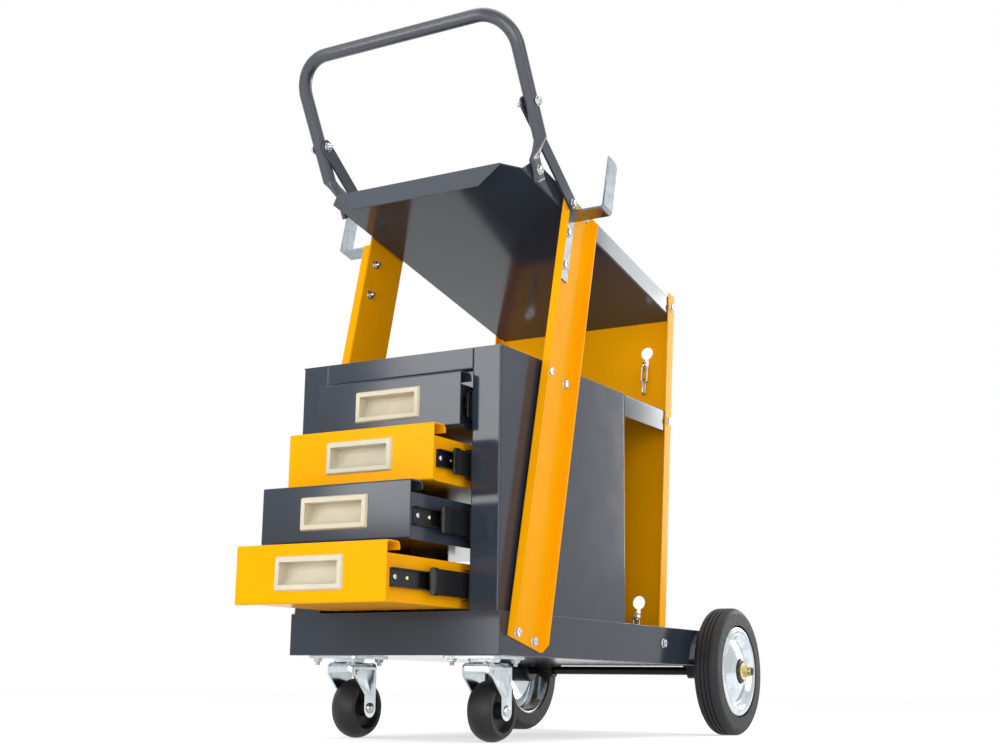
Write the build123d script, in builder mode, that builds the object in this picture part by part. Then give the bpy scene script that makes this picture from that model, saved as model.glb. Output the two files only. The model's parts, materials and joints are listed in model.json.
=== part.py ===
"""Welding cart: a folded sheet-steel cart with a drawer cabinet, a tilted top tray,
a leaning back panel for gas cylinders, two swivel casters and two fixed rear wheels.

Millimetres, +Z up, front of the cart towards -Y. The origin is on the floor, under the
middle of the cart as it stands with its drawers part open.
"""
import os
from math import cos, radians, sin, sqrt, tan

from build123d import *

os.makedirs("parts", exist_ok=True)

# Sheet metal
sheet = 1.5
bend = 2.5
outer_bend = 1.2
fit_gap = 0.2
seat_gap = 0.3

# Base tray
base_half_width = 150.0
base_length = 650.0
base_wall = 50.0
base_rear_lip = 22.0

# Rear wheels and axle
wheel_radius = 91.0
tyre_width = 36.0
rim_radius = 66.0
axle_radius = 6.0
axle_inset = 38.0
axle_drop = 1.0
wheel_side_gap = 8.0
hub_radius = 17.0
hub_overhang = 4.0
rim_sheet = 3.0
rim_round = 4.5
rim_lip = 9.0
rim_slope = 8.0
rim_dish = 11.7
tread_groove = 2.0
tyre_shoulder = 9.0
running_gap = 0.05
axle_chamfer = 1.2
axle_nut_radius = 10.0
axle_nut_height = 8.0
axle_washer_radius = 12.0
axle_washer = 2.0
bracket_width = 24.0
bracket_wall = 5.0
bracket_foot = 2.5
bracket_foot_length = 44.0

# Front casters
caster_inset = 52.0
caster_setback = 52.0
caster_plate = 72.0
caster_plate_thickness = 3.0
caster_bolt_spacing = 54.0
caster_wheel_radius = 36.0
caster_wheel_width = 32.0
caster_trail = 20.0
caster_race_radius = 20.0
caster_race_height = 4.0
caster_race_taper = 1.6
caster_fork_sheet = 2.5
caster_fork_gap = 1.5
caster_fork_round = 6.0
caster_eye_radius = 11.5
caster_skirt = 10.0
caster_knee = 16.0
kingpin_radius = 5.0
kingpin_head = 9.0
kingpin_head_height = 5.0
caster_axle_radius = 4.0
caster_nut_radius = 6.8
caster_nut_height = 4.0
caster_hub_radius = 8.8
caster_hub_proud = 1.0
caster_web_half = 8.0
caster_tread_depth = 10.8
caster_tread_slope = 3.6
caster_shoulder = 6.0

# Drawer cabinet
drawer_pitch = 70.5
drawer_front_height = 66.0
drawer_sill_gap = 1.5
top_rail = 26.5
cabinet_depth = 329.0
stile_return = 28.0
rear_flange = 12.0
slide_upright = 45.0
slide_upright_inset = 90.0

# Drawers and slides
drawer_half_width = 94.0
drawer_box_height = 52.0
drawer_front_overlap = 9.5
drawer_lip = 10.0
drawer_top_lip = 25.0
drawer_lip_return = 9.5
drawer_lip_round = 6.0
drawer_out = (21.0, 75.0, 119.0, 160.0)
pull_width = 94.0
pull_height = 39.0
pull_proud = 3.0
pull_rim = 5.0
pull_bevel = 30.0
pull_depth = 17.0
pull_wall = 2.0
slide_thickness = 12.7
slide_sheet = 1.2
slide_bend = 0.6
slide_lip_gap = 4.0
slide_height = 35.0
slide_rear_gap = 26.0
slide_member_short = 50.0
drawer_short = 15.0
slide_mid_setback = 15.0
slide_inner_setback = 20.0
ball_gap = 1.8

# Mid shelf and back panel
shelf_flange = 31.0
panel_setback = 449.0
panel_lean = 5.3
panel_flange = 20.0
panel_rise = 8.0
panel_tray_bolt = 17.0
panel_base_bolt = 27.5
keyhole_radius = 9.5
keyhole_slot = 6.0
keyhole_drop = 24.0
keyhole_inset = 42.3
keyhole_above_shelf = 94.0
keyhole_above_base = 85.0

# Top tray
tray_front = 28.0
tray_height = 694.0
tray_tilt = 11.5
tray_flange = 28.0
tray_apron = 26.0
tray_corner_width = 20.6
tray_apron_cut = 29.0
tray_corner = 19.0
tray_flange_slant = 26.0

# Posts and hooks
post_sheet = 2.0
post_width = 79.0
post_flange = 12.0
post_lean = 13.1
post_foot_y = 14.2
post_foot_rise = 23.0
post_above_tray = 21.5
post_end_bolts = 8.5
post_mid_drop = 8.0
post_bolt_inset = 19.5
post_brace_notch = 30.0
hook_width = 24.0
hook_sheet = 2.5
hook_bolt_drops = (100.0, 53.0)
hook_foot_drop = 120.0
hook_arm_drop = 28.0
hook_reach = 54.0
hook_rise = 73.0
hook_row = 17.5
hook_tip_round = 7.2

# Handle and braces
handle_radius = 8.75
handle_wall = 1.5
handle_back = 48.6
handle_lean = 29.2
handle_rise = 176.0
handle_bend = 48.0
handle_flat = 30.0
handle_flat_thickness = 6.0
handle_flat_width = 22.8
handle_flat_round = 2.4
handle_neck = 22.0
handle_flat_below = 14.0
brace_sheet = 3.0
brace_width = 20.0
brace_bolt = 84.0

# Fasteners
bolt_radius = 3.0
bolt_head = 6.0
bolt_head_height = 4.0
bolt_sides = 6
bolt_hole_gap = 0.3

# Cylinder chains
chain_wire = 3.0
chain_link_length = 21.0
chain_link_width = 6.0
chain_outer_cut = 3.0
chain_inner_cut = 1.5
chain_slack = 1.0
chain_tail = 2
chain_spare = (8, 0)

# Levels and planes that follow from the sizes above
drawer_count = len(drawer_out)
base_bottom = wheel_radius + axle_radius + axle_drop
base_top = base_bottom + base_wall
base_floor = base_bottom + sheet
lowest_front = base_top + drawer_sill_gap
opening_top = lowest_front + drawer_count * drawer_pitch
cabinet_top = opening_top + top_rail
opening_half = drawer_half_width + slide_thickness
panel_half = base_half_width - sheet - fit_gap
inner_half = panel_half - sheet - fit_gap
spacer_length = base_half_width - inner_half
post_face = base_half_width + post_sheet
wheel_track_half = base_half_width + wheel_side_gap + tyre_width / 2
axle_setback = base_length - axle_inset
tyre_outer = wheel_track_half + tyre_width / 2
front_reach = drawer_out[-1] + pull_proud - sheet - fit_gap
base_y = (front_reach - axle_setback - wheel_radius) / 2
cabinet_y = base_y + sheet + fit_gap
axle_y = base_y + axle_setback
cabinet_rear = cabinet_y + cabinet_depth
slide_length = cabinet_depth - 2 * sheet - slide_rear_gap
slide_member_length = slide_length - slide_member_short
drawer_depth = slide_length - drawer_short
caster_half_spacing = base_half_width - caster_inset
tray_apron_half = inner_half - tray_corner_width
keyhole_half_spacing = panel_half - keyhole_inset
keyhole_heights = (cabinet_top + keyhole_above_shelf, base_bottom + keyhole_above_base)
bolt_hole = bolt_radius + bolt_hole_gap
right_and_left = (("right", 1), ("left", -1))


def front_plane(y):
    """Upright plane facing the front, with sketch axes X and Z."""
    return Plane(origin=(0, y, 0), x_dir=(1, 0, 0), z_dir=(0, -1, 0))


def side_plane(x):
    """Upright plane facing +X, with sketch axes Y and Z."""
    return Plane(origin=(x, 0, 0), x_dir=(0, 1, 0), z_dir=(1, 0, 0))


def folded_sheet(points, thickness, radius, side=Side.LEFT):
    """Section of a folded sheet: its bent face line, thickened to one side."""
    with BuildLine() as bent_line:
        FilletPolyline(*points, radius=radius)
        offset(amount=thickness, side=side)
    make_face(bent_line.edges())


def bolts(places, grip):
    """Hexagon bolts with nuts. Each place is the plane under a head, facing outwards."""
    for place in places:
        with BuildSketch(place) as head:
            RegularPolygon(bolt_head, bolt_sides)
        extrude(head.sketch, amount=bolt_head_height)
        with BuildSketch(place) as shank:
            RegularPolygon(bolt_radius, bolt_sides)
        extrude(shank.sketch, amount=-(grip + 2 * bolt_head_height))
        with BuildSketch(place.offset(-grip)) as nut:
            RegularPolygon(bolt_head, bolt_sides)
        extrude(nut.sketch, amount=-bolt_head_height)


def drill(places, radius, depth):
    """Clear holes through a sheet, on both sides of each place."""
    for place in places:
        with BuildSketch(place) as hole:
            Circle(radius)
        extrude(hole.sketch, amount=depth, both=True, mode=Mode.SUBTRACT)


def save(builder, name):
    """Label a finished piece and write it to its own file."""
    builder.part.label = name
    export_step(builder.part, f"parts/{name}.step")


# Tilted tray: positions back along its plate and up from it
tray_back = Vector(0, cos(radians(tray_tilt)), -sin(radians(tray_tilt)))
tray_up = Vector(0, sin(radians(tray_tilt)), cos(radians(tray_tilt)))
tray_origin = Vector(0, base_y + tray_front, tray_height)


def on_tray(x, back, up):
    """Point on the tray, from the middle of its front fold."""
    return tray_origin + tray_back * back + tray_up * up + Vector(x, 0, 0)


# Leaning back panel: front face position at a height
panel_tangent = tan(radians(panel_lean))


def panel_face(z):
    """Y of the back panel's front face at a height."""
    return base_y + panel_setback + panel_tangent * (z - base_bottom)


# The tray's plate runs back to the panel's front face
tray_span = panel_face(tray_height) - base_y - tray_front
tray_length = tray_span / (cos(radians(tray_tilt)) + panel_tangent * sin(radians(tray_tilt))) - seat_gap
tray_rear = on_tray(0, tray_length, 0)
panel_top = tray_rear.Z + tray_flange + panel_rise

# Leaning post: positions along its axis and across its web
post_axis = Vector(0, sin(radians(post_lean)), cos(radians(post_lean)))
post_across = Vector(0, cos(radians(post_lean)), -sin(radians(post_lean)))
post_foot = Vector(0, base_y + post_foot_y, base_bottom + post_foot_rise)
post_to_tray = (tray_origin - post_foot).dot(tray_up) / post_axis.dot(tray_up)
post_length = post_to_tray + post_above_tray
post_mid_bolts = (cabinet_top - post_mid_drop - post_foot.Z) / post_axis.Z
hook_bolts = [post_length - drop for drop in hook_bolt_drops]
hook_foot = post_length - hook_foot_drop
hook_arm_height = post_length - hook_arm_drop


def on_post(along, across, x):
    """Point on a post's web, from its lower front corner."""
    return post_foot + post_axis * along + post_across * across + Vector(x, 0, 0)


def outward_plane(point, sign):
    """Plane across the cart at a point, facing out of the given side."""
    return Plane(origin=point, x_dir=post_axis, z_dir=(sign, 0, 0))


# Handle leg: positions up from its lower bolt, at mid-height of the tray's flange
handle_up = Vector(0, -sin(radians(handle_lean)), cos(radians(handle_lean)))
handle_bolt = on_tray(0, handle_back, tray_flange / 2)
handle_x = post_face + brace_sheet + handle_radius


def on_handle(x, along):
    """Point on the handle's leg axis, from its lower bolt."""
    return handle_bolt + handle_up * along + Vector(x, 0, 0)


# Where the fasteners go, as planes under their heads
web_rows = (post_bolt_inset, post_width - post_bolt_inset)


def post_places(along, rows, sign, x):
    """Bolt planes on a post's web."""
    return [outward_plane(on_post(along, row, sign * x), sign) for row in rows]


def panel_places(sign, x):
    """Bolt planes where the back panel's flanges meet the tray, shelf and base."""
    levels = (tray_rear.Z + panel_tray_bolt, cabinet_top - shelf_flange / 2, base_bottom + panel_base_bolt)
    places = []
    for level in levels:
        y = panel_face(level) - panel_flange / 2
        places.append(Plane(origin=(sign * x, y, level), x_dir=(0, 1, 0), z_dir=(sign, 0, 0)))
    return places


def caster_places(sign, z):
    """Bolt planes at the corners of a caster plate."""
    half = caster_bolt_spacing / 2
    x = sign * caster_half_spacing
    y = base_y + caster_setback
    return [Plane(origin=(x + dx, y + dy, z)) for dx in (-half, half) for dy in (-half, half)]


# Base tray: one folded sheet with four walls, lower at the rear
base_middle = base_y + base_length / 2
with BuildPart() as base_tray:
    with BuildSketch(Plane.XY.offset(base_bottom)):
        with Locations((0, base_middle)):
            Rectangle(2 * base_half_width, base_length)
    extrude(amount=base_wall)
    offset(amount=-sheet, openings=base_tray.faces().sort_by(Axis.Z)[-1])
    upright_edges = base_tray.edges().filter_by(Axis.Z)
    corners = upright_edges.filter_by(lambda edge: edge.length > base_wall - sheet / 2)
    fillet(corners, outer_bend)
    fillet(base_tray.faces().sort_by(Axis.Z)[0].edges(), outer_bend)
    with BuildSketch(front_plane(base_y + base_length + sheet)):
        with Locations((0, base_bottom + base_rear_lip + base_wall / 2)):
            Rectangle(2 * (base_half_width - 2 * bend), base_wall)
    extrude(amount=2 * sheet + bend, mode=Mode.SUBTRACT)
    for name, sign in right_and_left:
        drill(post_places(post_end_bolts, web_rows, sign, base_half_width), bolt_hole, 2 * sheet)
        drill(panel_places(sign, base_half_width)[2:], bolt_hole, 2 * sheet)
        drill(caster_places(sign, base_bottom), bolt_hole, 2 * sheet)
save(base_tray, "base_tray")

# Cabinet: two folded sides with front stiles, uprights for the slides, and a top with a front rail
with BuildPart() as cabinet:
    with BuildSketch(Plane.XY.offset(base_floor)):
        side_line = [
            (opening_half, cabinet_y + stile_return),
            (opening_half, cabinet_y),
            (inner_half, cabinet_y),
            (inner_half, cabinet_rear),
            (inner_half - rear_flange, cabinet_rear),
        ]
        folded_sheet(side_line, sheet, bend)
        upright_rear = cabinet_rear - slide_upright_inset
        upright_line = [
            (inner_half - sheet / 2, upright_rear),
            (opening_half, upright_rear),
            (opening_half, upright_rear - slide_upright),
        ]
        folded_sheet(upright_line, sheet, bend)
        mirror(about=Plane.YZ)
    extrude(amount=cabinet_top - base_floor - sheet)
    with BuildSketch(Plane.XY.offset(cabinet_top - sheet)):
        with Locations((0, cabinet_y + cabinet_depth / 2)):
            Rectangle(2 * inner_half, cabinet_depth)
    extrude(amount=sheet)
    with BuildSketch(side_plane(-opening_half)):
        rail_line = [
            (cabinet_y, cabinet_top - sheet),
            (cabinet_y, opening_top),
            (cabinet_y + drawer_lip, opening_top),
        ]
        folded_sheet(rail_line, sheet, bend)
    extrude(amount=2 * opening_half)
    for name, sign in right_and_left:
        drill(post_places(post_mid_bolts, web_rows, sign, inner_half), bolt_hole, 3 * sheet)
        drill(post_places(post_end_bolts, web_rows, sign, inner_half), bolt_hole, 3 * sheet)
save(cabinet, "cabinet")

# Mid shelf: carries the cabinet's top level back to the panel, with flanges turned down
shelf_front = cabinet_rear + seat_gap
shelf_rear = panel_face(cabinet_top - shelf_flange) - seat_gap
with BuildPart() as mid_shelf:
    with BuildSketch(front_plane(shelf_front)):
        shelf_line = [
            (-inner_half, cabinet_top - shelf_flange),
            (-inner_half, cabinet_top),
            (inner_half, cabinet_top),
            (inner_half, cabinet_top - shelf_flange),
        ]
        folded_sheet(shelf_line, sheet, bend, Side.RIGHT)
    extrude(amount=-(shelf_rear - shelf_front))
    for name, sign in right_and_left:
        drill(panel_places(sign, inner_half)[1:2], bolt_hole, 3 * sheet)
save(mid_shelf, "mid_shelf")

# Back panel: a leaning sheet with its side flanges folded forward, and four keyholes
panel_plane = Plane(
    origin=(0, panel_face(base_floor), base_floor),
    x_dir=(1, 0, 0),
    z_dir=(0, sin(radians(panel_lean)), cos(radians(panel_lean))),
)
panel_length = (panel_top - base_floor) / cos(radians(panel_lean))
with BuildPart() as back_panel:
    with BuildSketch(panel_plane):
        panel_line = [
            (-panel_half, -panel_flange),
            (-panel_half, sheet),
            (panel_half, sheet),
            (panel_half, -panel_flange),
        ]
        folded_sheet(panel_line, sheet, bend, Side.RIGHT)
    extrude(amount=panel_length)
    for height in keyhole_heights:
        with BuildSketch(front_plane(panel_face(height))):
            with Locations((-keyhole_half_spacing, height), (keyhole_half_spacing, height)):
                Circle(keyhole_radius)
            with Locations(
                (-keyhole_half_spacing, height - keyhole_drop / 2),
                (keyhole_half_spacing, height - keyhole_drop / 2),
            ):
                SlotOverall(keyhole_drop + keyhole_slot, keyhole_slot, rotation=90)
        extrude(amount=panel_flange, both=True, mode=Mode.SUBTRACT)
    for name, sign in right_and_left:
        drill(panel_places(sign, panel_half), bolt_hole, 3 * sheet)
    with BuildSketch(side_plane(0)):
        with Locations((panel_face(base_floor), base_floor - panel_flange / 2)):
            Rectangle(4 * panel_flange, panel_flange)
    extrude(amount=base_half_width, both=True, mode=Mode.SUBTRACT)
save(back_panel, "back_panel")

# Top tray: tilted plate, side flanges up, cut front corners, and an apron folded down
tray_plane = Plane(origin=tray_origin, x_dir=(1, 0, 0), z_dir=tray_up)
tray_front_plane = Plane(origin=tray_origin, x_dir=(1, 0, 0), z_dir=tray_back * -1)
with BuildPart() as top_tray:
    with BuildSketch(tray_front_plane):
        tray_line = [
            (-inner_half, tray_flange),
            (-inner_half, 0),
            (inner_half, 0),
            (inner_half, tray_flange),
        ]
        folded_sheet(tray_line, sheet, bend)
    extrude(amount=-(tray_length - tray_flange * tan(radians(tray_tilt + panel_lean))))
    with BuildSketch(tray_plane):
        rear_start = tray_length / 2
        with BuildLine():
            Polyline(
                (-inner_half + bend + sheet, rear_start),
                (inner_half - bend - sheet, rear_start),
                (inner_half - bend - sheet, tray_length),
                (-inner_half + bend + sheet, tray_length),
                close=True,
            )
        make_face()
    extrude(amount=sheet)
    for name, sign in right_and_left:
        with BuildSketch(tray_plane):
            with BuildLine():
                Polyline(
                    (sign * tray_apron_half, 0),
                    (sign * inner_half, tray_corner),
                    (sign * inner_half * 2, tray_corner),
                    (sign * inner_half * 2, -tray_corner),
                    (sign * tray_apron_half, -tray_corner),
                    close=True,
                )
            make_face()
        extrude(amount=2 * tray_flange, both=True, mode=Mode.SUBTRACT)
        flange_plane = Plane(origin=tray_origin, x_dir=tray_back, z_dir=(1, 0, 0))
        with BuildSketch(flange_plane.offset(sign * (inner_half - bend))):
            with BuildLine():
                Polyline(
                    (0, sheet),
                    (tray_corner, sheet),
                    (tray_corner + tray_flange_slant, tray_flange),
                    (tray_corner + tray_flange_slant, 2 * tray_flange),
                    (0, 2 * tray_flange),
                    close=True,
                )
            make_face()
        extrude(amount=2 * bend, both=True, mode=Mode.SUBTRACT)
        drill(post_places(post_length - post_end_bolts, web_rows, sign, inner_half), bolt_hole, 3 * sheet)
        drill(panel_places(sign, inner_half)[:1], bolt_hole, 3 * sheet)
        drill([outward_plane(on_handle(sign * inner_half, 0), sign)], bolt_hole, 3 * sheet)
    with BuildSketch(tray_front_plane):
        with BuildLine():
            Polyline(
                (-tray_apron_half, sheet),
                (tray_apron_half, sheet),
                (tray_apron_half, 0),
                (tray_apron_half - tray_apron_cut, -tray_apron),
                (-tray_apron_half + tray_apron_cut, -tray_apron),
                (-tray_apron_half, 0),
                close=True,
            )
        make_face()
    extrude(amount=sheet)
    front_fold = top_tray.faces().sort_by(Axis.Y)[0].edges().sort_by(Axis.Z)[-1]
    fillet(front_fold, outer_bend)
save(top_tray, "top_tray")

# Posts: channels open outwards, leaning back, with their flange ends cut at an angle
for name, sign in right_and_left:
    post_section = Plane(origin=on_post(0, 0, 0), x_dir=(sign, 0, 0), z_dir=post_axis)
    outer = base_half_width + post_flange
    with BuildPart() as post:
        with BuildSketch(post_section):
            post_line = [
                (outer, 0),
                (base_half_width, 0),
                (base_half_width, sign * post_width),
                (outer, sign * post_width),
            ]
            folded_sheet(post_line, post_sheet, bend, Side.RIGHT if sign > 0 else Side.LEFT)
        extrude(amount=post_length)
        end_plane = Plane(origin=on_post(0, 0, 0), x_dir=(1, 0, 0), z_dir=post_across * -1)
        with BuildSketch(end_plane.offset(post_sheet)):
            for level, step in ((0, 1), (post_length, -1)):
                with BuildLine():
                    Polyline(
                        (sign * (post_face + bend), level),
                        (sign * (outer + post_sheet), level + step * (post_flange + post_sheet - bend)),
                        (sign * (outer + post_sheet), level),
                        close=True,
                    )
                make_face()
        extrude(amount=-(post_width + 2 * post_sheet), mode=Mode.SUBTRACT)
        with BuildSketch(end_plane.offset(post_sheet)):
            with Locations((sign * (post_face + post_flange), post_length)):
                Rectangle(2 * post_flange, 2 * post_brace_notch)
        extrude(amount=-(2 * post_sheet + bend), mode=Mode.SUBTRACT)
        for along in (post_end_bolts, post_mid_bolts, post_length - post_end_bolts):
            drill(post_places(along, web_rows, sign, post_face), bolt_hole, 3 * post_sheet)
        hook_places = [outward_plane(on_post(row, hook_row, sign * post_face), sign) for row in hook_bolts]
        drill(hook_places, bolt_hole, 3 * post_sheet)
    save(post, f"post_{name}")

    # Hook: a bent strip bolted in the channel, reaching out and up
    hook_plane = Plane(
        origin=on_post(0, hook_row - hook_width / 2, 0), x_dir=(sign, 0, 0), z_dir=post_across
    )
    with BuildPart() as hook:
        with BuildSketch(hook_plane):
            reach = post_face + hook_reach
            flip = -sign
            hook_line = [
                (post_face, flip * hook_foot),
                (post_face, flip * hook_arm_height),
                (reach, flip * hook_arm_height),
                (reach, flip * (hook_arm_height + hook_rise)),
            ]
            folded_sheet(hook_line, hook_sheet, bend, Side.LEFT if sign > 0 else Side.RIGHT)
        extrude(amount=hook_width)
        tip = hook.faces().sort_by(Axis((0, 0, 0), tuple(post_axis)))[-1]
        fillet(tip.edges().filter_by(Axis.X).sort_by(Axis.Y)[-1], hook_tip_round)
        drill(hook_places, bolt_hole, 3 * hook_sheet)
    save(hook, f"hook_{name}")

# Handle: one bent tube whose ends are pressed flat and bolted to the tray's flanges
flat_x = inner_half + handle_flat_thickness / 2
with BuildPart() as handle_tube:
    leg_start = handle_flat + handle_neck - handle_flat_below
    with BuildLine():
        FilletPolyline(
            on_handle(handle_x, leg_start),
            on_handle(handle_x, handle_rise / cos(radians(handle_lean))),
            on_handle(-handle_x, handle_rise / cos(radians(handle_lean))),
            on_handle(-handle_x, leg_start),
            radius=handle_bend,
        )
    with BuildSketch(Plane(origin=on_handle(handle_x, leg_start), x_dir=(1, 0, 0), z_dir=handle_up)):
        Circle(handle_radius)
        Circle(handle_radius - handle_wall, mode=Mode.SUBTRACT)
    sweep()
    for name, sign in right_and_left:
        flat_end = on_handle(sign * flat_x, leg_start - handle_neck)
        neck_start = Plane(origin=flat_end, x_dir=(1, 0, 0), z_dir=handle_up)
        tube_end = on_handle(sign * handle_x, leg_start)
        neck_end = Plane(origin=tube_end, x_dir=(1, 0, 0), z_dir=handle_up)
        with BuildSketch(neck_start):
            RectangleRounded(handle_flat_thickness, handle_flat_width, handle_flat_round)
        with BuildSketch(neck_end):
            Circle(handle_radius)
        loft()
        with BuildSketch(neck_start):
            RectangleRounded(handle_flat_thickness, handle_flat_width, handle_flat_round)
        extrude(amount=-handle_flat)
        drill([outward_plane(on_handle(sign * flat_x, 0), sign)], bolt_hole, handle_flat_thickness)
        drill([outward_plane(on_handle(sign * handle_x, brace_bolt), sign)], bolt_hole, 2 * handle_radius)
save(handle_tube, "handle_tube")

# Braces: flat bars from the handle's legs down to the tops of the posts
for name, sign in right_and_left:
    brace_x = sign * (post_face + brace_sheet / 2)
    brace_top = on_handle(brace_x, brace_bolt)
    brace_foot = on_post(post_length - post_end_bolts, post_bolt_inset, brace_x)
    brace_line = brace_foot - brace_top
    brace_plane = Plane(origin=(brace_top + brace_foot) * 0.5, x_dir=brace_line, z_dir=(1, 0, 0))
    with BuildPart() as brace:
        with BuildSketch(brace_plane):
            SlotOverall(brace_line.length + brace_width, brace_width)
            with Locations((-brace_line.length / 2, 0), (brace_line.length / 2, 0)):
                Circle(bolt_hole, mode=Mode.SUBTRACT)
        extrude(amount=brace_sheet / 2, both=True)
    save(brace, f"brace_{name}")

# Spacers between the posts and the narrower cabinet and tray
with BuildPart() as post_spacers:
    for name, sign in right_and_left:
        for along in (post_mid_bolts, post_length - post_end_bolts):
            for place in post_places(along, web_rows, sign, base_half_width):
                with BuildSketch(place):
                    RegularPolygon(bolt_head, bolt_sides)
                    Circle(bolt_hole, mode=Mode.SUBTRACT)
                extrude(amount=-spacer_length)
save(post_spacers, "post_spacers")

# Fasteners of the posts, hooks, handle, panel and casters
with BuildPart() as post_bolts:
    for name, sign in right_and_left:
        grip = post_sheet + spacer_length + sheet
        bolts(post_places(post_end_bolts, web_rows, sign, post_face), grip)
        bolts(post_places(post_mid_bolts, web_rows, sign, post_face), grip)
        bolts(post_places(post_length - post_end_bolts, web_rows[1:], sign, post_face), grip)
save(post_bolts, "post_bolts")

with BuildPart() as hook_bolts_set:
    for name, sign in right_and_left:
        face = post_face + hook_sheet
        places = [outward_plane(on_post(row, hook_row, sign * face), sign) for row in hook_bolts]
        bolts(places, post_sheet + hook_sheet)
save(hook_bolts_set, "hook_bolts")

with BuildPart() as handle_bolts:
    for name, sign in right_and_left:
        flat_face = inner_half + handle_flat_thickness
        bolts([outward_plane(on_handle(sign * flat_face, 0), sign)], handle_flat_thickness + sheet)
        tube_face = handle_x + handle_radius
        brace_place = outward_plane(on_handle(sign * tube_face, brace_bolt), sign)
        bolts([brace_place], 2 * handle_radius + brace_sheet)
        brace_face = post_face + brace_sheet
        foot_places = post_places(post_length - post_end_bolts, web_rows[:1], sign, brace_face)
        bolts(foot_places, brace_sheet + post_sheet + spacer_length + sheet)
save(handle_bolts, "handle_bolts")

with BuildPart() as panel_bolts:
    for name, sign in right_and_left:
        bolts(panel_places(sign, panel_half)[:2], 2 * sheet + fit_gap)
        bolts(panel_places(sign, base_half_width)[2:], 2 * sheet + fit_gap)
save(panel_bolts, "panel_bolts")

with BuildPart() as caster_bolts:
    for name, sign in right_and_left:
        bolts(caster_places(sign, base_floor), sheet + caster_plate_thickness)
save(caster_bolts, "caster_bolts")

# Axle and its brackets under the base
with BuildPart() as axle:
    axle_half = tyre_outer + hub_overhang + 2 * axle_nut_height
    with BuildSketch(Plane(origin=(0, axle_y, wheel_radius), x_dir=(0, 1, 0), z_dir=(1, 0, 0))):
        Circle(axle_radius)
    extrude(amount=axle_half, both=True)
    chamfer(axle.edges().filter_by(GeomType.CIRCLE), axle_chamfer)
save(axle, "axle")

with BuildPart() as axle_brackets:
    bracket_x = base_half_width - bracket_width
    bracket_half = axle_radius + bracket_wall
    for name, sign in right_and_left:
        with BuildSketch(side_plane(sign * bracket_x)):
            with Locations((axle_y, wheel_radius)):
                Circle(bracket_half)
            with Locations((axle_y, (wheel_radius + base_bottom) / 2)):
                Rectangle(2 * bracket_half, base_bottom - wheel_radius)
            with Locations((axle_y, base_bottom - bracket_foot / 2)):
                Rectangle(bracket_foot_length, bracket_foot)
            with Locations((axle_y, wheel_radius)):
                Circle(axle_radius + running_gap, mode=Mode.SUBTRACT)
            with Locations((axle_y, base_bottom + bracket_half)):
                Rectangle(bracket_foot_length, 2 * bracket_half, mode=Mode.SUBTRACT)
        extrude(amount=bracket_width / 2, both=True)
save(axle_brackets, "axle_brackets")

with BuildPart() as axle_nuts:
    for name, sign in right_and_left:
        nut_x = tyre_outer + hub_overhang + seat_gap
        nut_plane = Plane(origin=(sign * nut_x, axle_y, wheel_radius), x_dir=(0, 1, 0), z_dir=(sign, 0, 0))
        with BuildSketch(nut_plane):
            Circle(axle_washer_radius)
            Circle(axle_radius + running_gap, mode=Mode.SUBTRACT)
        extrude(amount=axle_washer)
        with BuildSketch(nut_plane.offset(axle_washer)):
            RegularPolygon(axle_nut_radius, bolt_sides)
            Circle(axle_radius + running_gap, mode=Mode.SUBTRACT)
        extrude(amount=axle_nut_height)
save(axle_nuts, "axle_nuts")

# Rear wheels: grooved rubber tyre on a dished pressed-steel rim, with a plastic hub
tyre_half = tyre_width / 2
for name, sign in right_and_left:
    wheel_plane = Plane(
        origin=(sign * wheel_track_half, axle_y, wheel_radius), x_dir=(sign, 0, 0), z_dir=(0, -sign, 0)
    )
    wheel_axis = Axis((0, axle_y, wheel_radius), (1, 0, 0))
    with BuildPart() as tyre:
        with BuildSketch(wheel_plane) as section:
            with Locations((0, (rim_radius + wheel_radius) / 2)):
                Rectangle(tyre_width, wheel_radius - rim_radius)
            fillet(section.vertices().group_by(Axis.Y)[-1], tyre_shoulder)
            with Locations(*[(step * tyre_half / 3, wheel_radius) for step in (-1, 0, 1)]):
                Rectangle(tread_groove, 2 * tread_groove, mode=Mode.SUBTRACT)
        revolve(axis=wheel_axis)
    save(tyre, f"rear_{name}_tyre")

    with BuildPart() as rim:
        with BuildSketch(wheel_plane):
            rim_edge = tyre_half - bend
            rim_inner = rim_radius - rim_sheet
            dish = tyre_half - rim_dish
            collar = tyre_half - sheet
            rim_line = [
                (-rim_edge, rim_inner),
                (rim_edge, rim_inner),
                (rim_edge, rim_inner - rim_lip),
                (dish, rim_inner - rim_lip - rim_slope),
                (collar, hub_radius + running_gap),
            ]
            folded_sheet(rim_line, rim_sheet, rim_round)
        revolve(axis=wheel_axis)
    save(rim, f"rear_{name}_rim")

    with BuildPart() as hub:
        with BuildSketch(wheel_plane):
            hub_inner = base_half_width + seat_gap + bolt_head_height - wheel_track_half
            hub_outer = tyre_half + hub_overhang
            hub_bore = axle_radius + running_gap
            with Locations(((hub_inner + hub_outer) / 2, (hub_bore + hub_radius) / 2)):
                Rectangle(hub_outer - hub_inner, hub_radius - hub_bore)
        revolve(axis=wheel_axis)
        hub_circles = hub.edges().filter_by(GeomType.CIRCLE)
        fillet(hub_circles.filter_by(lambda edge: edge.radius > hub_bore + sheet), bend)
    save(hub, f"rear_{name}_hub")

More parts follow.
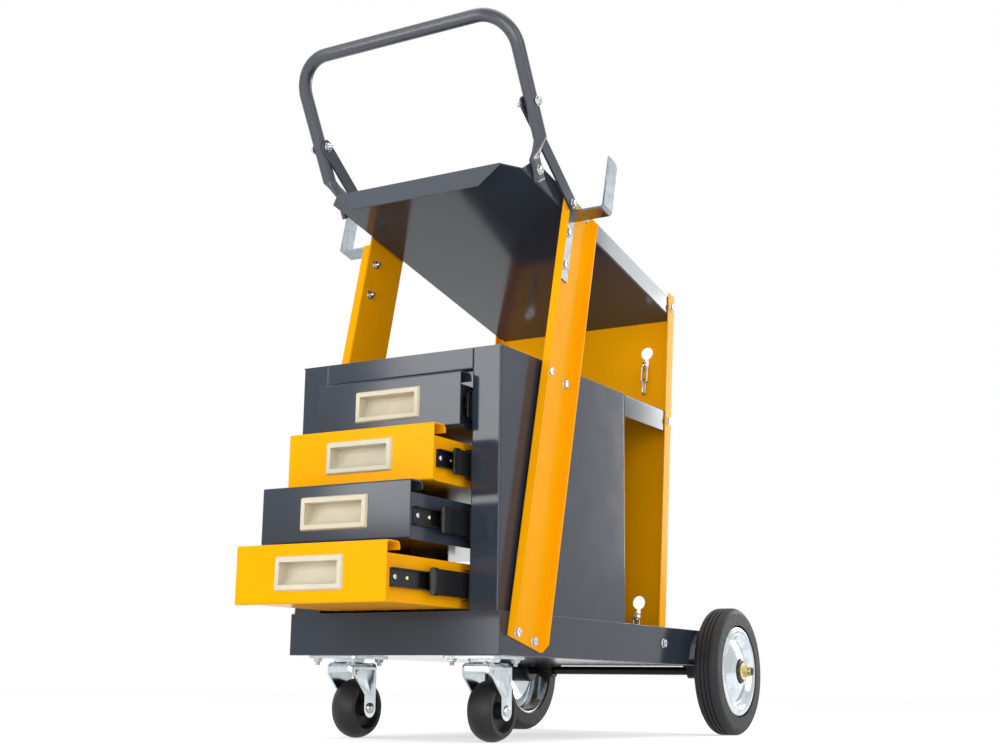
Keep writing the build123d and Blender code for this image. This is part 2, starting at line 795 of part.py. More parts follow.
# Front casters: plate with race and kingpin, swivel fork, axle and wheel
plate_bottom = base_bottom - caster_plate_thickness
race_bottom = plate_bottom - caster_race_height
crown_top = race_bottom - seat_gap
head_top = crown_top - caster_fork_sheet - seat_gap
for name, sign in right_and_left:
    swivel = Vector(sign * caster_half_spacing, base_y + caster_setback, 0)
    hub_centre = swivel + Vector(0, caster_trail, caster_wheel_radius)
    with BuildPart() as caster_plate_part:
        with BuildSketch(Plane.XY.offset(plate_bottom)):
            with Locations((swivel.X, swivel.Y)):
                RectangleRounded(caster_plate, caster_plate, bend * 2)
        extrude(amount=caster_plate_thickness)
        drill(caster_places(sign, base_bottom), bolt_hole, 2 * caster_plate_thickness)
        with BuildSketch(Plane(origin=swivel, x_dir=(1, 0, 0), z_dir=(0, -1, 0))):
            with BuildLine():
                Polyline(
                    (0, plate_bottom),
                    (caster_race_radius, plate_bottom),
                    (caster_race_radius - caster_race_taper, race_bottom),
                    (kingpin_radius, race_bottom),
                    (kingpin_radius, head_top),
                    (kingpin_head, head_top),
                    (kingpin_radius, head_top - kingpin_head_height),
                    (0, head_top - kingpin_head_height),
                    close=True,
                )
            make_face()
        revolve(axis=Axis((swivel.X, swivel.Y, 0), (0, 0, 1)))
    save(caster_plate_part, f"caster_{name}_plate")

    with BuildPart() as fork:
        leg_outer = caster_wheel_width / 2 + caster_fork_gap + caster_fork_sheet
        leg_bottom = caster_wheel_radius - caster_eye_radius
        leg_front = swivel.Y - caster_race_radius
        leg_rear = hub_centre.Y + caster_eye_radius
        with BuildSketch(Plane.XY.offset(leg_bottom)):
            with Locations((swivel.X, (leg_front + leg_rear) / 2)):
                Rectangle(2 * leg_outer, leg_rear - leg_front)
        extrude(amount=crown_top - leg_bottom)
        front_corners = fork.edges().filter_by(Axis.Z).group_by(Axis.Y)[0]
        crown_edges = fork.faces().sort_by(Axis.Z)[-1].edges().sort_by(Axis.Y)[:-1]
        fillet(front_corners + crown_edges, caster_fork_round)
        open_below = fork.faces().sort_by(Axis.Z)[0]
        open_behind = fork.faces().sort_by(Axis.Y)[-1]
        offset(amount=-caster_fork_sheet, openings=[open_below, open_behind])
        with BuildSketch(side_plane(swivel.X)) as outline:
            with BuildLine():
                Polyline(
                    (leg_front, crown_top),
                    (leg_front, crown_top - caster_skirt),
                    (hub_centre.Y - caster_eye_radius, hub_centre.Z + caster_knee),
                    (hub_centre.Y - caster_eye_radius, hub_centre.Z),
                    (leg_rear, hub_centre.Z),
                    (leg_rear, crown_top),
                    close=True,
                )
            make_face()
            with Locations((hub_centre.Y, hub_centre.Z)):
                Circle(caster_eye_radius)
        extrude(outline.sketch, amount=leg_outer, both=True, mode=Mode.INTERSECT)
        crown_centre = Plane(origin=(swivel.X, swivel.Y, crown_top))
        drill([crown_centre], kingpin_radius + running_gap, caster_race_height)
        fork_axle = Plane(origin=hub_centre, x_dir=(0, 1, 0), z_dir=(1, 0, 0))
        drill([fork_axle], caster_axle_radius + running_gap, caster_plate)
    save(fork, f"caster_{name}_fork")

    with BuildPart() as caster_axle:
        with BuildSketch(fork_axle.offset(-leg_outer)):
            Circle(caster_axle_radius)
        extrude(amount=2 * leg_outer)
        with BuildSketch(fork_axle.offset(leg_outer)):
            RegularPolygon(caster_nut_radius, bolt_sides)
        extrude(amount=caster_nut_height)
        with BuildSketch(fork_axle.offset(-leg_outer)):
            RegularPolygon(caster_nut_radius, bolt_sides)
        extrude(amount=-caster_nut_height)
    save(caster_axle, f"caster_{name}_axle")

    with BuildPart() as caster_wheel:
        half = caster_wheel_width / 2
        hub_half = half + caster_hub_proud
        tread_inner = caster_wheel_radius - caster_tread_depth
        caster_wheel_plane = Plane(origin=hub_centre, x_dir=(1, 0, 0), z_dir=(0, -1, 0))
        with BuildSketch(caster_wheel_plane):
            with BuildLine():
                Polyline(
                    (0, caster_axle_radius + running_gap),
                    (hub_half, caster_axle_radius + running_gap),
                    (hub_half, caster_hub_radius),
                    (caster_web_half, caster_hub_radius + caster_hub_proud),
                    (caster_web_half, tread_inner - caster_tread_slope),
                    (half, tread_inner),
                    (half, caster_wheel_radius - caster_shoulder),
                )
                crown_radius = (half**2 + caster_shoulder**2) / (2 * caster_shoulder)
                tread_edge = (half, caster_wheel_radius - caster_shoulder)
                RadiusArc(tread_edge, (0, caster_wheel_radius), -crown_radius)
                Line((0, caster_wheel_radius), (0, caster_axle_radius + running_gap))
            make_face()
            mirror(about=Plane.YZ)
        revolve(axis=Axis(tuple(hub_centre), (1, 0, 0)))
    save(caster_wheel, f"caster_{name}_wheel")

# Cylinder chains: each hangs between two keyholes behind the panel, with its ends in front
chain_step = chain_link_length - chain_slack
chain_hang = chain_link_length / 2 - chain_inner_cut - chain_wire / 2 - seat_gap
chain_seat = (chain_link_width + chain_slack) / 2 - seat_gap
turn_in = chain_wire * sqrt(0.5) + seat_gap - chain_slack / 2
turn_out = (chain_wire + chain_slack) / 2
panel_down = Vector(0, -sin(radians(panel_lean)), -cos(radians(panel_lean)))


def hanging_slopes(count, span):
    """Slopes of an evenly hanging row of links that reaches across the span."""
    low = 0.0
    high = 10.0
    while high - low > 1e-9:
        step = (low + high) / 2
        slopes = [step * (index - (count - 1) / 2) for index in range(count)]
        runs = [1 / sqrt(1 + slope**2) for slope in slopes]
        reach = chain_step * sum(runs) + 2 * turn_out * runs[0]
        if reach > span:
            low = step
        else:
            high = step
    return slopes


def cut_corners(length, width, cut):
    """Corner points of a rectangle with its corners cut off, in order."""
    points = []
    for sx, sy in ((1, 1), (-1, 1), (-1, -1), (1, -1)):
        along_end = (sx * length / 2, sy * (width / 2 - cut))
        along_side = (sx * (length / 2 - cut), sy * width / 2)
        points += [along_end, along_side] if sx * sy > 0 else [along_side, along_end]
    return points


def chain_link(start, along, flat):
    """One link from a joint, its broad side along the given direction."""
    across = (flat - along * flat.dot(along)).normalized()
    centre = start + along * (chain_step / 2)
    with BuildSketch(Plane(origin=centre, x_dir=along, z_dir=along.cross(across))) as link:
        outer_width = chain_link_width + 2 * chain_wire
        Polygon(*cut_corners(chain_link_length + 2 * chain_wire, outer_width, chain_outer_cut))
        Polygon(*cut_corners(chain_link_length, chain_link_width, chain_inner_cut), mode=Mode.SUBTRACT)
    return extrude(link.sketch, amount=chain_wire / 2, both=True, mode=Mode.PRIVATE)


across_x = Vector(1, 0, 0)
across_y = Vector(0, 1, 0)
across_z = Vector(0, 0, 1)
chain_span = 2 * keyhole_half_spacing
for name, height, spare in zip(("upper", "lower"), keyhole_heights, chain_spare):
    slot_bottom = height - keyhole_drop - keyhole_slot / 2
    rest_z = slot_bottom + chain_wire + chain_link_width / 2 + 3 * seat_gap
    with BuildPart() as chain:
        links = []
        for sign in (1, -1):
            middle = Vector(sign * keyhole_half_spacing, panel_face(rest_z) + sheet / 2, rest_z)
            links.append(chain_link(middle - across_y * (chain_step / 2), across_y, across_z))
            joint = middle - across_y * chain_hang - across_z * chain_seat
            for step in range(chain_tail):
                links.append(chain_link(joint, panel_down, across_x if step % 2 == 0 else across_y))
                joint = joint + panel_down * chain_step
            joint = middle + across_y * chain_hang - across_z * chain_seat
            links.append(chain_link(joint, across_z * -1, across_x))
        slopes = hanging_slopes(2 * int(chain_span / chain_step / 2) + 1 + spare, chain_span)
        first = Vector(1, 0, slopes[0]).normalized()
        joint = joint - across_z * (chain_step - turn_in) + first * turn_out
        for index, slope in enumerate(slopes):
            along = Vector(1, 0, slope).normalized()
            links.append(chain_link(joint, along, across_y if index % 2 == 0 else across_z))
            joint = joint + along * chain_step
        add(links)
    save(chain, f"chain_{name}")

# Drawers, from the top one down, each with its front, pull and slide members
front_half = drawer_half_width + drawer_front_overlap
slide_start = cabinet_y + sheet
lip_edge = drawer_half_width + slide_lip_gap
mid_web = opening_half - slide_sheet - ball_gap
inner_edge = mid_web - slide_sheet - ball_gap


def slide_pair(section, y, length):
    """Two mirrored slide members of the given section, running back from y."""
    with BuildSketch(front_plane(y)) as pair:
        folded_sheet(section, slide_sheet, slide_bend)
        mirror(about=Plane.YZ)
    extrude(pair.sketch, amount=-length)


with BuildPart() as slide_rails:
    for index in range(drawer_count):
        slide_z = opening_top - (index + 1) * drawer_pitch + sheet + drawer_box_height / 2
        half = slide_height / 2
        rail_section = [
            (lip_edge, slide_z - half),
            (opening_half, slide_z - half),
            (opening_half, slide_z + half),
            (lip_edge, slide_z + half),
        ]
        slide_pair(rail_section, slide_start, slide_length)
save(slide_rails, "slide_rails")

for index in range(drawer_count):
    number = index + 1
    front_y = cabinet_y - drawer_out[index]
    front_bottom = lowest_front + (drawer_count - number) * drawer_pitch
    front_top = front_bottom + drawer_front_height
    box_bottom = front_bottom + sheet
    slide_z = box_bottom + drawer_box_height / 2
    pull_z = front_bottom + drawer_front_height / 2
    face_plane = front_plane(front_y)

    with BuildPart() as drawer_front:
        with BuildSketch(side_plane(-front_half)):
            front_line = [
                (front_y + drawer_lip, front_bottom),
                (front_y, front_bottom),
                (front_y, front_top),
                (front_y + drawer_top_lip, front_top),
                (front_y + drawer_top_lip, front_top - drawer_lip_return),
            ]
            folded_sheet(front_line, sheet, (bend, bend, drawer_lip_round), Side.RIGHT)
        extrude(amount=2 * front_half)
        with BuildSketch(face_plane):
            with Locations((0, pull_z)):
                Rectangle(pull_width - 2 * pull_rim, pull_height - 2 * pull_rim)
        extrude(amount=-2 * sheet, mode=Mode.SUBTRACT)
    save(drawer_front, f"drawer_{number}_front")

    with BuildPart() as drawer_box:
        box_front = front_y + bend
        with BuildSketch(Plane.XY.offset(box_bottom)):
            with Locations((0, box_front + drawer_depth / 2)):
                Rectangle(2 * drawer_half_width, drawer_depth)
        extrude(amount=drawer_box_height)
        box_top = drawer_box.faces().sort_by(Axis.Z)[-1]
        box_mouth = drawer_box.faces().sort_by(Axis.Y)[0]
        offset(amount=-sheet, openings=[box_top, box_mouth])
    save(drawer_box, f"drawer_{number}_box")

    with BuildPart() as pull:
        with BuildSketch(face_plane):
            with Locations((0, pull_z)):
                RectangleRounded(pull_width, pull_height, pull_rim / 2)
        extrude(amount=pull_proud, taper=pull_bevel)
        with BuildSketch(face_plane):
            with Locations((0, pull_z)):
                Rectangle(pull_width - 2 * pull_rim - fit_gap, pull_height - 2 * pull_rim - fit_gap)
        extrude(amount=-pull_depth)
        pocket_half = pull_height / 2 - pull_rim - pull_wall
        with BuildSketch(side_plane(0)):
            with BuildLine():
                mouth = front_y - pull_proud
                floor = front_y + pull_depth - pull_wall
                Line((mouth, pull_z - pocket_half), (mouth, pull_z + pocket_half))
                Line((mouth, pull_z + pocket_half), (floor, pull_z + pocket_half))
                EllipticalCenterArc(
                    (mouth, pull_z + pocket_half),
                    floor - mouth,
                    2 * pocket_half,
                    start_angle=270,
                    arc_size=90,
                )
            make_face()
        extrude(amount=pull_width / 2 - pull_rim - pull_wall, both=True, mode=Mode.SUBTRACT)
    save(pull, f"drawer_{number}_pull")

    with BuildPart() as inner_members:
        inner_half_height = slide_height / 2 - 2 * (slide_sheet + ball_gap) - slide_sheet
        inner_section = [
            (inner_edge, slide_z + inner_half_height),
            (drawer_half_width, slide_z + inner_half_height),
            (drawer_half_width, slide_z - inner_half_height),
            (inner_edge, slide_z - inner_half_height),
        ]
        slide_pair(inner_section, front_y + slide_inner_setback, slide_member_length)
    save(inner_members, f"drawer_{number}_slides")

    with BuildPart() as mid_members:
        mid_half_height = slide_height / 2 - slide_sheet - ball_gap
        mid_section = [
            (lip_edge, slide_z - mid_half_height),
            (mid_web, slide_z - mid_half_height),
            (mid_web, slide_z + mid_half_height),
            (lip_edge, slide_z + mid_half_height),
        ]
        mid_y = cabinet_y + slide_mid_setback - drawer_out[index] / 2
        slide_pair(mid_section, mid_y, slide_member_length)
    save(mid_members, f"slide_mid_{number}")
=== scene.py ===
"""Looks of the welding cart: finishes, chains, fasteners and small fittings, light and camera."""
import json
import math

import bmesh
import bpy
import numpy as np
from mathutils import Matrix, Vector


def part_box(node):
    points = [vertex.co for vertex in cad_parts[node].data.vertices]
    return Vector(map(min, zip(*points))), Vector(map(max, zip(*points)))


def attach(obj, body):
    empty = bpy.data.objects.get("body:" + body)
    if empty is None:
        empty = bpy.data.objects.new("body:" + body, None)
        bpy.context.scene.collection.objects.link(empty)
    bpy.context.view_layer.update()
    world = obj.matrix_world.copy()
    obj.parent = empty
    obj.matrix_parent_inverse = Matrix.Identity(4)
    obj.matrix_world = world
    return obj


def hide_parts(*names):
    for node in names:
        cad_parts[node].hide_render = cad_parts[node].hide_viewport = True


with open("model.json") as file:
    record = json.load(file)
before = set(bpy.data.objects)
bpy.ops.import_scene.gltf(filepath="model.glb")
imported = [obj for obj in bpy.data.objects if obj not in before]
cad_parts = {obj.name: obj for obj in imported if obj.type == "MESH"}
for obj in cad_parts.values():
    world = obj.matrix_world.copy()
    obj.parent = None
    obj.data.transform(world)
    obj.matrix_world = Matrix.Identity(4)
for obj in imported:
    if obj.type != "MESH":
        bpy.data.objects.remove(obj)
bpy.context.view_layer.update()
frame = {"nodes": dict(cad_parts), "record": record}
nodes = frame["nodes"]
MM = 0.001
SIDES = (("left", -1), ("right", 1))
DRAWERS = (1, 2, 3, 4)
X_AXIS, Z_AXIS = 0, 2
BOLT_AXES = {
    "post_bolts": X_AXIS,
    "hook_bolts": X_AXIS,
    "handle_bolts": X_AXIS,
    "panel_bolts": X_AXIS,
    "caster_bolts": Z_AXIS,
}

# Meshes: two faces that meet at more than the smooth angle, in degrees, keep a crease
SMOOTH_ANGLE = 35
THREAD_SMOOTH_ANGLE = 28
ROUND_SIDES = 20


def skin(bm, loops, closed=False):
    """Surface through successive loops of points, capped at its ends unless closed on itself."""
    rings = [[bm.verts.new(point) for point in loop] for loop in loops]
    following = rings[1:] + (rings[:1] if closed else [])
    for this, that in zip(rings, following):
        for side in range(len(this)):
            other = (side + 1) % len(this)
            bm.faces.new((this[side], this[other], that[other], that[side]))
    if not closed:
        bm.faces.new(rings[0][::-1])
        bm.faces.new(rings[-1])


def make_piece(name, skins, body, material, closed=False, smooth_angle=SMOOTH_ANGLE):
    """Link a mesh of one or more skins as a piece that rides on a body."""
    bm = bmesh.new()
    for loops in skins:
        skin(bm, loops, closed)
    bmesh.ops.recalc_face_normals(bm, faces=bm.faces)
    mesh = bpy.data.meshes.new(name)
    bm.to_mesh(mesh)
    bm.free()
    mesh.materials.append(material)
    for polygon in mesh.polygons:
        polygon.use_smooth = True
    mesh.set_sharp_from_angle(angle=math.radians(smooth_angle))
    piece = bpy.data.objects.new(name, mesh)
    bpy.context.scene.collection.objects.link(piece)
    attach(piece, body)
    return piece


def place_at(origin, direction):
    """Placement whose z axis points along a direction."""
    place = Vector(direction).to_track_quat("Z", "Y").to_matrix().to_4x4()
    place.translation = Vector(origin)
    return place


def around(sides):
    """Evenly spaced angles of one full turn."""
    return [2 * math.pi * side / sides for side in range(sides)]


def turned(place, profile, sides=ROUND_SIDES):
    """Loops of a turned or many-sided form, from its radius at each height."""
    loops = []
    for radius, height in profile:
        points = [
            Vector((radius * math.cos(angle), radius * math.sin(angle), height))
            for angle in around(sides)
        ]
        loops.append([place @ point for point in points])
    return loops


# Materials
PATTERN_LOW, PATTERN_HIGH = 0.3, 0.7  # where most of a noise pattern's values lie
LEAST_ROUGHNESS = 0.03
EDGE_SAMPLES = 4
EDGE_START, EDGE_FULL = 0.99, 0.80  # cosines of the turn of the rounded normal
COAT_EDGE = 0.8 * MM
TUBE_EDGE = 4.0 * MM  # wide enough to even out the facets of the bent tube
PLATE_EDGE = 0.5 * MM


class Finish:
    """A principled surface whose colour, roughness and relief come from procedural nodes."""

    def __init__(self, name, colour, roughness, metallic=0.0):
        self.material = bpy.data.materials.new(name)
        self.material.use_nodes = True
        self.tree = self.material.node_tree
        self.shader = self.tree.nodes["Principled BSDF"]
        self.shader.inputs["Metallic"].default_value = metallic
        self.colour = colour
        self.roughness = roughness
        self.place = self.node("ShaderNodeTexCoord").outputs["Object"]
        self.normal = None

    def node(self, kind, **settings):
        made = self.tree.nodes.new(kind)
        for key, value in settings.items():
            setattr(made, key, value)
        return made

    def link(self, start, end):
        self.tree.links.new(start, end)

    def noise(self, scale, detail=4.0):
        made = self.node("ShaderNodeTexNoise")
        self.link(self.place, made.inputs["Vector"])
        made.inputs["Scale"].default_value = scale
        made.inputs["Detail"].default_value = detail
        return made.outputs["Fac"]

    def cells(self, scale):
        made = self.node("ShaderNodeTexVoronoi")
        self.link(self.place, made.inputs["Vector"])
        made.inputs["Scale"].default_value = scale
        return made.outputs["Color"]

    def spread(self, value, low, high):
        """A pattern stretched to run from low to high."""
        made = self.node("ShaderNodeMapRange")
        self.link(value, made.inputs["Value"])
        made.inputs["From Min"].default_value = PATTERN_LOW
        made.inputs["From Max"].default_value = PATTERN_HIGH
        made.inputs["To Min"].default_value = low
        made.inputs["To Max"].default_value = high
        return made.outputs["Result"]

    def tint(self, value, amount):
        """Colour that drifts darker and lighter with a pattern."""
        ramp = self.node("ShaderNodeValToRGB")
        self.link(value, ramp.inputs["Fac"])
        for element, shift in zip(ramp.color_ramp.elements, (-amount, amount)):
            element.color = [min(1.0, channel * (1 + shift)) for channel in self.colour] + [1.0]
        ramp.color_ramp.elements[0].position = PATTERN_LOW
        ramp.color_ramp.elements[1].position = PATTERN_HIGH
        self.link(ramp.outputs["Color"], self.shader.inputs["Base Color"])

    def polish(self, value, amount):
        """Roughness that varies with a pattern."""
        low = max(LEAST_ROUGHNESS, self.roughness - amount)
        high = self.roughness + amount
        self.link(self.spread(value, low, high), self.shader.inputs["Roughness"])

    def soften_edges(self, radius, highlight=0.0):
        """Round the shading of edges and, where asked, paint a highlight along them by lightening
        the colour there.
        """
        made = self.node("ShaderNodeBevel", samples=EDGE_SAMPLES)
        made.inputs["Radius"].default_value = radius
        self.normal = made.outputs["Normal"]
        if highlight:
            flat = self.node("ShaderNodeNewGeometry").outputs["Normal"]
            turn = self.node("ShaderNodeVectorMath", operation="DOT_PRODUCT")
            self.link(self.normal, turn.inputs[0])
            self.link(flat, turn.inputs[1])
            edge = self.node("ShaderNodeMapRange")
            self.link(turn.outputs["Value"], edge.inputs["Value"])
            edge.inputs["From Min"].default_value = EDGE_START
            edge.inputs["From Max"].default_value = EDGE_FULL
            blend = self.node("ShaderNodeMix", data_type="RGBA")
            self.link(edge.outputs["Result"], blend.inputs["Factor"])
            self.link(self.shader.inputs["Base Color"].links[0].from_socket, blend.inputs["A"])
            # Painted highlight: the edge colour is lightened where edges would catch the light.
            highlight_colour = [channel + highlight * (1 - channel) for channel in self.colour]
            blend.inputs["B"].default_value = highlight_colour + [1.0]
            self.link(blend.outputs["Result"], self.shader.inputs["Base Color"])

    def relief(self, value, strength, distance):
        """Fine bumps, on top of the softened edges where there are any."""
        made = self.node("ShaderNodeBump")
        made.inputs["Strength"].default_value = strength
        made.inputs["Distance"].default_value = distance
        self.link(value, made.inputs["Height"])
        if self.normal:
            self.link(self.normal, made.inputs["Normal"])
        self.normal = made.outputs["Normal"]

    def done(self):
        if self.normal:
            self.link(self.normal, self.shader.inputs["Normal"])
        return self.material


def powder_coat(name, colour, roughness, gloss, edge_highlight, edge_radius=COAT_EDGE):
    """Powder coat: faint drift of colour over fine orange peel, with a painted highlight along
    the edges.
    """
    finish = Finish(name, colour, roughness)
    finish.shader.inputs["Specular IOR Level"].default_value = gloss
    finish.tint(finish.noise(scale=9.0), amount=0.04)
    finish.polish(finish.noise(scale=35.0), amount=0.015)
    finish.soften_edges(edge_radius, edge_highlight)
    finish.relief(finish.noise(scale=150.0, detail=2.0), strength=0.03, distance=0.2 * MM)
    return finish.done()


def plated(name, colour, roughness, cell_scale, grain=0.06):
    """Zinc plate: bright metal with a faint crystalline mottle."""
    finish = Finish(name, colour, roughness, metallic=1.0)
    finish.tint(finish.cells(cell_scale), amount=0.08)
    finish.polish(finish.noise(scale=90.0, detail=6.0), amount=grain)
    finish.soften_edges(PLATE_EDGE)
    finish.relief(finish.noise(scale=260.0, detail=3.0), strength=0.05, distance=0.3 * MM)
    return finish.done()


def moulded(name, colour, roughness, texture_scale, texture, gloss=0.35):
    """Moulded plastic or rubber with a fine skin."""
    finish = Finish(name, colour, roughness)
    finish.shader.inputs["Specular IOR Level"].default_value = gloss
    finish.tint(finish.noise(scale=30.0), amount=0.06)
    finish.polish(finish.noise(scale=140.0, detail=5.0), amount=0.07)
    finish.soften_edges(COAT_EDGE)
    finish.relief(finish.noise(texture_scale, detail=3.0), strength=texture, distance=0.4 * MM)
    return finish.done()


# Each coat's edge setting is the strength of its painted edge highlight.
GREY = powder_coat("grey_coat", (0.030, 0.039, 0.056), 0.12, gloss=0.32, edge_highlight=0.16)
TUBE_GREY = powder_coat(
    "tube_coat", (0.040, 0.047, 0.060), 0.22, gloss=0.60, edge_highlight=0.0, edge_radius=TUBE_EDGE
)
YELLOW = powder_coat("yellow_coat", (0.95, 0.405, 0.001), 0.22, gloss=0.03, edge_highlight=0.06)
BLACK = powder_coat("black_steel", (0.008, 0.008, 0.009), 0.28, gloss=0.25, edge_highlight=0.02)
ZINC = plated("bright_zinc", (0.56, 0.61, 0.64), 0.16, cell_scale=60.0)
BOLT_ZINC = plated("bolt_zinc", (0.52, 0.53, 0.54), 0.22, cell_scale=300.0)
CHAIN_ZINC = plated("chain_zinc", (0.60, 0.59, 0.57), 0.24, cell_scale=300.0)
# Zinc of the hooks, darkened as painted shade: it stands in for the darker reflections on them.
SHADED_HOOK_ZINC = plated("shaded_hook_zinc", (0.27, 0.30, 0.33), 0.34, cell_scale=140.0, grain=0.10)
YELLOW_ZINC = plated("yellow_zinc", (0.83, 0.70, 0.36), 0.25, cell_scale=220.0)
AXLE_ZINC = plated("axle_zinc", (0.34, 0.29, 0.16), 0.30, cell_scale=220.0)
CREAM = moulded(
    "cream_plastic", (0.63, 0.58, 0.45), 0.42, texture_scale=900.0, texture=0.05
)
RUBBER = moulded(
    "tyre_rubber", (0.018, 0.018, 0.020), 0.60, texture_scale=700.0, texture=0.10
)
CASTER_RUBBER = moulded(
    "caster_rubber", (0.010, 0.010, 0.011), 0.50, texture_scale=900.0, texture=0.06
)
HUB_PLASTIC = moulded(
    "hub_plastic", (0.014, 0.014, 0.015), 0.38, texture_scale=600.0, texture=0.05
)
STOP_PLASTIC = moulded(
    "stop_plastic", (0.007, 0.007, 0.008), 0.20, texture_scale=160.0, texture=0.25, gloss=0.6
)

SLOT_FINISH = {
    "grey_coat": GREY,
    "yellow_coat": YELLOW,
    "zinc": ZINC,
    "yellow_zinc": YELLOW_ZINC,
    "black_steel": BLACK,
    "cream_plastic": CREAM,
    "tyre_rubber": RUBBER,
    "caster_rubber": CASTER_RUBBER,
    "hub_plastic": HUB_PLASTIC,
}
NODE_FINISH = {"hook_left": SHADED_HOOK_ZINC, "hook_right": SHADED_HOOK_ZINC, "handle_tube": TUBE_GREY}
for part in frame["record"]["subparts"]:
    cad = nodes[part["node"]]
    cad_finish = NODE_FINISH.get(part["node"], SLOT_FINISH[part["material_slot"]])
    cad.data.materials.clear()
    cad.data.materials.append(cad_finish)


# Shapes read from the frame
SAME_POINT_DIGITS = 6  # decimals of a metre to which points are taken as one


def loose_parts(node):
    """The separate solids of a CAD node, each as an array of its corner points."""
    mesh = nodes[node].data
    points = np.array([vertex.co for vertex in mesh.vertices], float)
    keys = {}
    owner = list(range(len(points)))

    def root(index):
        while owner[index] != index:
            owner[index] = owner[owner[index]]
            index = owner[index]
        return index

    for index, point in enumerate(points):
        key = tuple(np.round(point, SAME_POINT_DIGITS))
        owner[root(index)] = root(keys.setdefault(key, index))
    for polygon in mesh.polygons:
        first = polygon.vertices[0]
        for other in polygon.vertices[1:]:
            owner[root(other)] = root(first)
    groups = {}
    for index in range(len(points)):
        groups.setdefault(root(index), []).append(index)
    return [points[group] for group in groups.values()]


def main_axes(points):
    """Middle and three axes of a solid, from its longest to its shortest extent."""
    middle = (points.min(0) + points.max(0)) / 2
    unique = np.unique(np.round(points, SAME_POINT_DIGITS), axis=0)
    spread = unique - unique.mean(0)
    values, vectors = np.linalg.eigh(spread.T @ spread)
    return Vector(middle), [Vector(vectors[:, order]) for order in np.argsort(-values)]


# Chains: oval links of round wire, one for each link of the CAD chain
LINK_LENGTH = 24.0 * MM
LINK_WIDTH = 9.0 * MM
LINK_WIRE = 1.5 * MM
LINK_TURN = 8
LINK_SIDES = 10


def oval(length, width, turn):
    """Points round a long oval, with the outward direction at each."""
    radius = width / 2
    straight = length / 2 - radius
    points = []
    for end in (1, -1):
        for step in range(turn + 1):
            angle = math.pi * (step / turn - 0.5) + (0 if end > 0 else math.pi)
            outward = Vector((math.cos(angle), math.sin(angle), 0))
            points.append((Vector((end * straight, 0, 0)) + outward * radius, outward))
    return points


def link_loops(place):
    """Loops of one link's wire, placed."""
    loops = []
    for point, outward in oval(LINK_LENGTH, LINK_WIDTH, LINK_TURN):
        offsets = [
            outward * math.cos(angle) + Vector((0, 0, math.sin(angle)))
            for angle in around(LINK_SIDES)
        ]
        loops.append([place @ (point + offset * LINK_WIRE) for offset in offsets])
    return loops


def dress_chain(name):
    skins = []
    for points in loose_parts(name):
        middle, axes = main_axes(points)
        place = Matrix((axes[0], axes[1], axes[0].cross(axes[1]))).transposed().to_4x4()
        place.translation = middle
        skins.append(link_loops(place))
    piece = make_piece(f"{name}_links", skins, "cart", CHAIN_ZINC, closed=True)
    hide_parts(name)


for level in ("upper", "lower"):
    dress_chain(f"chain_{level}")


# Bolts: flanged hexagon heads at one end, flanged nuts and threads at the other
HEAD_HEIGHT = 4.0 * MM
HEAD_RADIUS = 5.6 * MM
HEAD_CHAMFER = 0.7 * MM
DISH_RADIUS = HEAD_RADIUS - 3 * HEAD_CHAMFER
DISH_HEIGHT = HEAD_HEIGHT - HEAD_CHAMFER / 2
HEXAGON = 6
FLANGE_RADIUS = 6.2 * MM
FLANGE_HEIGHT = 1.2 * MM
FLANGE_EDGE = 0.5 * MM
FLANGE_SIDES = 24
SHANK_RADIUS = 2.9 * MM
SHANK_SIDES = 16
THREAD_DEPTH = 0.35 * MM
THREAD_PITCH = 1.0 * MM


def hexagon_skins(place, sense):
    """A hexagon with a washer face, standing from a plane up or down its axis."""
    flange = (
        (FLANGE_RADIUS, 0.0),
        (FLANGE_RADIUS, sense * FLANGE_EDGE),
        (HEAD_RADIUS, sense * FLANGE_HEIGHT),
    )
    head = (
        (HEAD_RADIUS, sense * FLANGE_EDGE),
        (HEAD_RADIUS, sense * (HEAD_HEIGHT - HEAD_CHAMFER)),
        (HEAD_RADIUS - HEAD_CHAMFER, sense * HEAD_HEIGHT),
        (DISH_RADIUS, sense * DISH_HEIGHT),
    )
    return [turned(place, flange, FLANGE_SIDES), turned(place, head, HEXAGON)]


def thread_profile(start, end):
    """Plain shank to the start of the thread, then crests and roots to a cut end."""
    profile = [(SHANK_RADIUS, 0.0), (SHANK_RADIUS, start)]
    turns = int(abs(end - start) / THREAD_PITCH)
    for half in range(1, 2 * turns):
        depth = THREAD_DEPTH if half % 2 else 0.0
        profile.append((SHANK_RADIUS - depth, start + (end - start) * half / (2 * turns)))
    profile.append((SHANK_RADIUS - 2 * THREAD_DEPTH, end))
    return profile


def dress_bolts(node, axis):
    skins = []
    for points in loose_parts(node):
        low, high = points.min(0), points.max(0)
        middle = Vector((low + high) / 2)
        outward = Vector((0, 0, 0))
        outward[axis] = 1.0 if axis == Z_AXIS else math.copysign(1.0, middle.x)
        length = float(high[axis] - low[axis])
        seat = middle + outward * (length / 2 - HEAD_HEIGHT)
        place = place_at(seat, outward)
        tail = HEAD_HEIGHT - length
        nut = place_at(seat + outward * (tail + 2 * HEAD_HEIGHT), outward)
        skins += hexagon_skins(place, 1) + hexagon_skins(nut, -1)
        skins.append(turned(place, thread_profile(tail + HEAD_HEIGHT, tail), SHANK_SIDES))
    piece = make_piece(
        f"{node}_turned", skins, "cart", BOLT_ZINC, smooth_angle=THREAD_SMOOTH_ANGLE
    )
    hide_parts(node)


for bolt_node, bolt_axis in BOLT_AXES.items():
    dress_bolts(bolt_node, bolt_axis)


